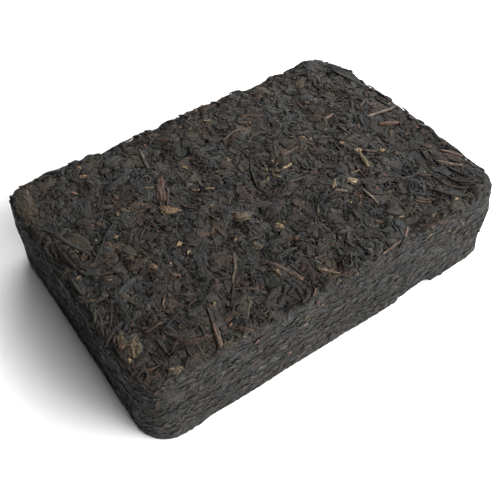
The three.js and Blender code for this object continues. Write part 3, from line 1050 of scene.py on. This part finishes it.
DARK_PLATES = (
    (-54.3, 11.5, -70, 11, 4.2, 0.5, 0.8),
    (-61.5, 37, -80, 8, 5, 0.5, 0.8),
    (61, 27, -83, 17, 3.2, 0.05, 0.3),
)
# Dark shreds of leaf, and near-black ones that are painted shade: in two grooves, in the hollow near the
# front and in cracks.
DARK_SHREDS_AND_PAINTED_SHADE = (
    # These two are painted shadow along the grooves at the left end.
    (-59, 19, -62, 8, 0.8, -0.3, 0.5),
    (-55.6, 9, -68, 11, 0.8, -0.3, 0.5),
    (-57, 13.5, -68, 18, 1.6, 0.35, 0.4),
    (-60, 8.5, -84, 13, 1.4, 0.25, 0.5),
    (-62.5, -1, -92, 12, 1.3, 0.3, 0.5),
    (-43.5, 11, -144, 8, 0.8, 0.2, 0.6),
    (-50.5, 5, -136, 10, 0.8, 0.2, 0.6),
    (-37.5, -34, -107, 6, 1.4, 0.25, 0.6),
    # From here to the cracks: partly dark crushed leaf, partly painted shade in the hollow near the front.
    (-17, -35, -30, 6, 1.6, 0, 0.4),
    (-20, -37, 20, 5, 1.7, -0.1, 0.4),
    (-13, -38, -70, 6, 1.5, 0, 0.4),
    (-21, -39.5, -25, 6, 2.1, -0.2, 0.5),
    (-17.5, -39, 35, 5, 2, -0.2, 0.5),
    (-18, -42, 5, 6, 1.8, -0.15, 0.5),
    (-14.5, -40.5, -60, 5, 1, -0.2, 0.5),
    (-15.5, -41.8, -20, 5.5, 1.1, -0.2, 0.5),
    (-12.8, -41.2, -95, 4.5, 0.9, -0.15, 0.5),
    (-16.6, -40.2, -80, 4, 0.9, -0.25, 0.5),
    (-14.2, -38.6, 10, 4.5, 0.9, -0.2, 0.4),
    # Painted shade in cracks.
    (2.6, 3.6, -110, 9, 0.8, -0.3, 0.5),
    (53, -19.5, -110, 6, 0.9, -0.3, 0.5),
    (-43.5, -45.8, -40, 4.5, 1.1, -0.3, 0.5),
    (-42, -37, -100, 4, 0.9, -0.3, 0.5),
)
# Ribs of one crushed leaf near the front right corner, which curve the same way but lie unevenly.
ARCHED_RIBS = (
    (46.5, -38, -44, 11, 1.3, 0.34, 0.8),
    (49.5, -35.5, -56, 8.5, 0.8, 0.48, 0.9),
    (48.5, -39.5, -34, 6, 1, 0.2, 0.6),
    (52.3, -34, -62, 12, 1.1, 0.3, 0.8),
    (53.5, -37.5, -48, 5, 0.7, 0.44, 0.9),
    (55.6, -32, -72, 7, 1.4, 0.22, 0.5),
)
RING_CURLS = ((3.7, -42, 0, 7.4, 0.7, 0.6, 0.4),)
# What shows on the front by place: x, then z from the middle of the front's height.
FRONT_BROWN = (
    (-61.8, 5.3, 80, 4, 1.6, 0.3, 0.1),
    (-60.7, -5.5, 60, 3, 1.4, 0.35, 0.2),
    (-61.3, 10.9, 30, 3, 1.2, 0.35, 0.1),
    (27.8, 3, 10, 2.4, 1.2, 0.6, 0.2),
    (-30.7, 11, 20, 2.2, 1.2, 0.6, 0.4),
)
FRONT_GOLD = (
    (-13.9, 8.3, 20, 1.6, 1, 0.35, 0.7),
    (-8, 9.2, -10, 1.8, 0.9, 0.4, 0.5),
    (-11.2, 4.8, 0, 1.3, 0.8, 0.3, 0.7),
    (4.2, 13.7, 10, 2, 1, 0.4, 0.6),
    (31.6, 11.8, 6, 4, 1.1, 0.42, 0.4),
    (41, 8.4, 0, 1.6, 0.9, 0.4, 0.5),
)
# Near-black flakes on the front that are painted shade inside its small pits.
FRONT_PIT_SHADE = (
    (25.8, -1.7, 10, 2.6, 1.3, -0.3, 0.5),
    (35.9, -7.9, -10, 2.4, 1.2, -0.3, 0.5),
    (-50.5, -3.5, 15, 2.2, 1.1, -0.3, 0.5),
    (-33, 2, 0, 1.6, 0.8, -0.2, 0.5),
    (8, -6, 10, 1.8, 0.8, -0.2, 0.5),
)

# ---- the pieces

make_core()
joined("folded_leaf", dark_leaf, "leaf_shred", laid(fold, TOP, FOLDED, count=950))
joined("broken_leaf", dark_leaf, "leaf_shred", laid(small_fold, TOP, BROKEN, count=1900, patch=4))
joined("rolled_leaf", dark_leaf, "leaf_shred", laid(rod, TOP, ROLLED, count=750))
joined(
    "fine_leaf", dark_leaf, "leaf_shred",
    bundled(strand, TOP, STRAND, count=1800, strands=4, gap=0.5, patch=4, loose=0.9),
)
joined(
    "loose_fine_leaf", dark_leaf, "leaf_shred",
    laid(strand, TOP, STRAND, count=4000, patch=3, loose=1.2),
    laid(strand, TOP, CRUMB, count=4200, patch=3, loose=1.6),
)
joined("curled_leaf", dark_leaf, "leaf_shred", curled(count=24, margin=4, headings=(0, 6.28)))
joined("rim_leaf", dark_leaf, "leaf_shred", rimmed(count=150))
# With the dark shreds go near-black pieces that are painted shade in grooves, cracks, the front hollow and
# small pits.
joined(
    "dark_shreds", dark_leaf, "leaf_shred",
    placed(stem_rod, SHRED, DARK_SHREDS_AND_PAINTED_SHADE),
    placed(stem_rod, ARCHED_SHRED, ARCHED_RIBS),
    placed(fold, PLATE, DARK_PLATES),
    placed(ring_rod, RING, RING_CURLS),
    placed(small_fold, FLAKE, FRONT_PIT_SHADE, FRONT),
)
joined("dry_stems", dry_stem, "stem", placed(stem_rod, STEM, STEMS), placed(stem_rod, BUD, BUDS))
joined(
    "golden_leaf", golden_bud, "golden_bud",
    placed(stem_rod, STEM, GOLDEN_STEMS),
    *torn(GOLDEN_PATCHES),
    flecks(TOP, 100, shade=(0.4, 0.18), hue=(0.6, 0.3)),
    placed(small_fold, FLAKE, FRONT_GOLD, FRONT),
)
joined(
    "brown_flakes", brown_leaf, "brown_leaf",
    *torn(BROWN_PATCHES),
    flecks(TOP, 220, shade=(0.48, 0.18), hue=(0.42, 0.3)),
    placed(small_fold, FLAKE, FRONT_BROWN, FRONT),
    *[flecks(bed, share(60, bed), shade=(0.38, 0.15), hue=(0.5, 0.25)) for bed in SIDES],
)
joined("layered_leaf", side_leaf, "leaf_shred", *laid_level(small_fold, LAYERED, count=2100, loose=0.3))
joined(
    "layered_fine_leaf", side_leaf, "leaf_shred",
    *laid_level(strand, LAYERED_STRAND, count=8400, loose=0.55),
)
joined(
    "under_leaf", dark_leaf, "leaf_shred",
    laid(small_fold, UNDERSIDE, UNDER, count=900),
    laid(strand, UNDERSIDE, UNDER_STRAND, count=2400, patch=5),
)

# ---- floor, light and camera

# From here on lengths are in metres where no MM follows. The floor reaches this far each way.
FLOOR_REACH = 1.5
# The room sheds this much light, and the camera sees this much more of it.
ROOM_LIGHT = 0.01
ROOM_SHOWS = 0.99


def make_floor():
    """A wide board, painted matt: it takes a soft shadow and shows no reflection."""
    mesh = bmesh.new()
    bmesh.ops.create_grid(mesh, x_segments=1, y_segments=1, size=FLOOR_REACH)
    data = as_data("floor", mesh)
    floor = in_scene("floor", data)
    material, _ = new_material("white board painted matt")
    look = {"Base Color": linear(0xF6F6F6), "Roughness": 0.9, "Specular IOR Level": 0.1}
    data.materials.append(finished(material, look))


def area_light(name, place, size, power):
    """A soft square light that faces the brick. Its power is in watts."""
    data = bpy.data.lights.new(name, "AREA")
    data.shape = "SQUARE"
    data.size = size
    data.energy = power
    light = in_scene(name, data)
    light.location = place
    light.rotation_mode = "QUATERNION"
    light.rotation_quaternion = (-Vector(place)).to_track_quat("-Z", "Y")


def make_camera():
    """A camera above the front left corner, tipped a little to one side."""
    place = Vector((-93.9, -139.4, 191.7)) * MM
    aim = Vector((-8.0, -9.08, 14.0)) * MM
    roll = math.radians(-1.844)
    data = bpy.data.cameras.new("camera")
    data.sensor_width = 36
    data.lens = 54.1
    data.clip_start = 0.01
    camera = in_scene("camera", data)
    camera.location = place
    camera.rotation_mode = "QUATERNION"
    look = (aim - place).to_track_quat("-Z", "Y")
    camera.rotation_quaternion = look @ Matrix.Rotation(roll, 3, "Z").to_quaternion()
    bpy.context.scene.camera = camera


def make_world():
    """A pale room beyond the floor, which shows in low views and gives next to no light itself."""
    world = bpy.data.worlds.new("pale room")
    world.use_nodes = True
    tree = world.node_tree
    background = tree.nodes["Background"]
    background.inputs["Color"].default_value = linear(0xFFFFFF)
    seen = add_node(tree, "ShaderNodeLightPath").outputs["Is Camera Ray"]
    strength = add_node(
        tree, "ShaderNodeMath", {0: seen, 1: ROOM_SHOWS, 2: ROOM_LIGHT}, operation="MULTIPLY_ADD"
    ).outputs[0]
    tree.links.new(strength, background.inputs["Strength"])
    bpy.context.scene.world = world


make_floor()
# The first two light the long side and leave the short one dark. The third is low and close behind
# the back right corner, and draws out the leaf on the top.
area_light("key", place=(0.82, -1.96, 0.965), size=2.3, power=141)
area_light("side", place=(1.4, -1.5, 1.15), size=1.8, power=70)
area_light("back", place=(0.46, 0.35, 0.345), size=0.74, power=8.0)
make_camera()
make_world()
bpy.context.scene.view_settings.view_transform = "Standard"
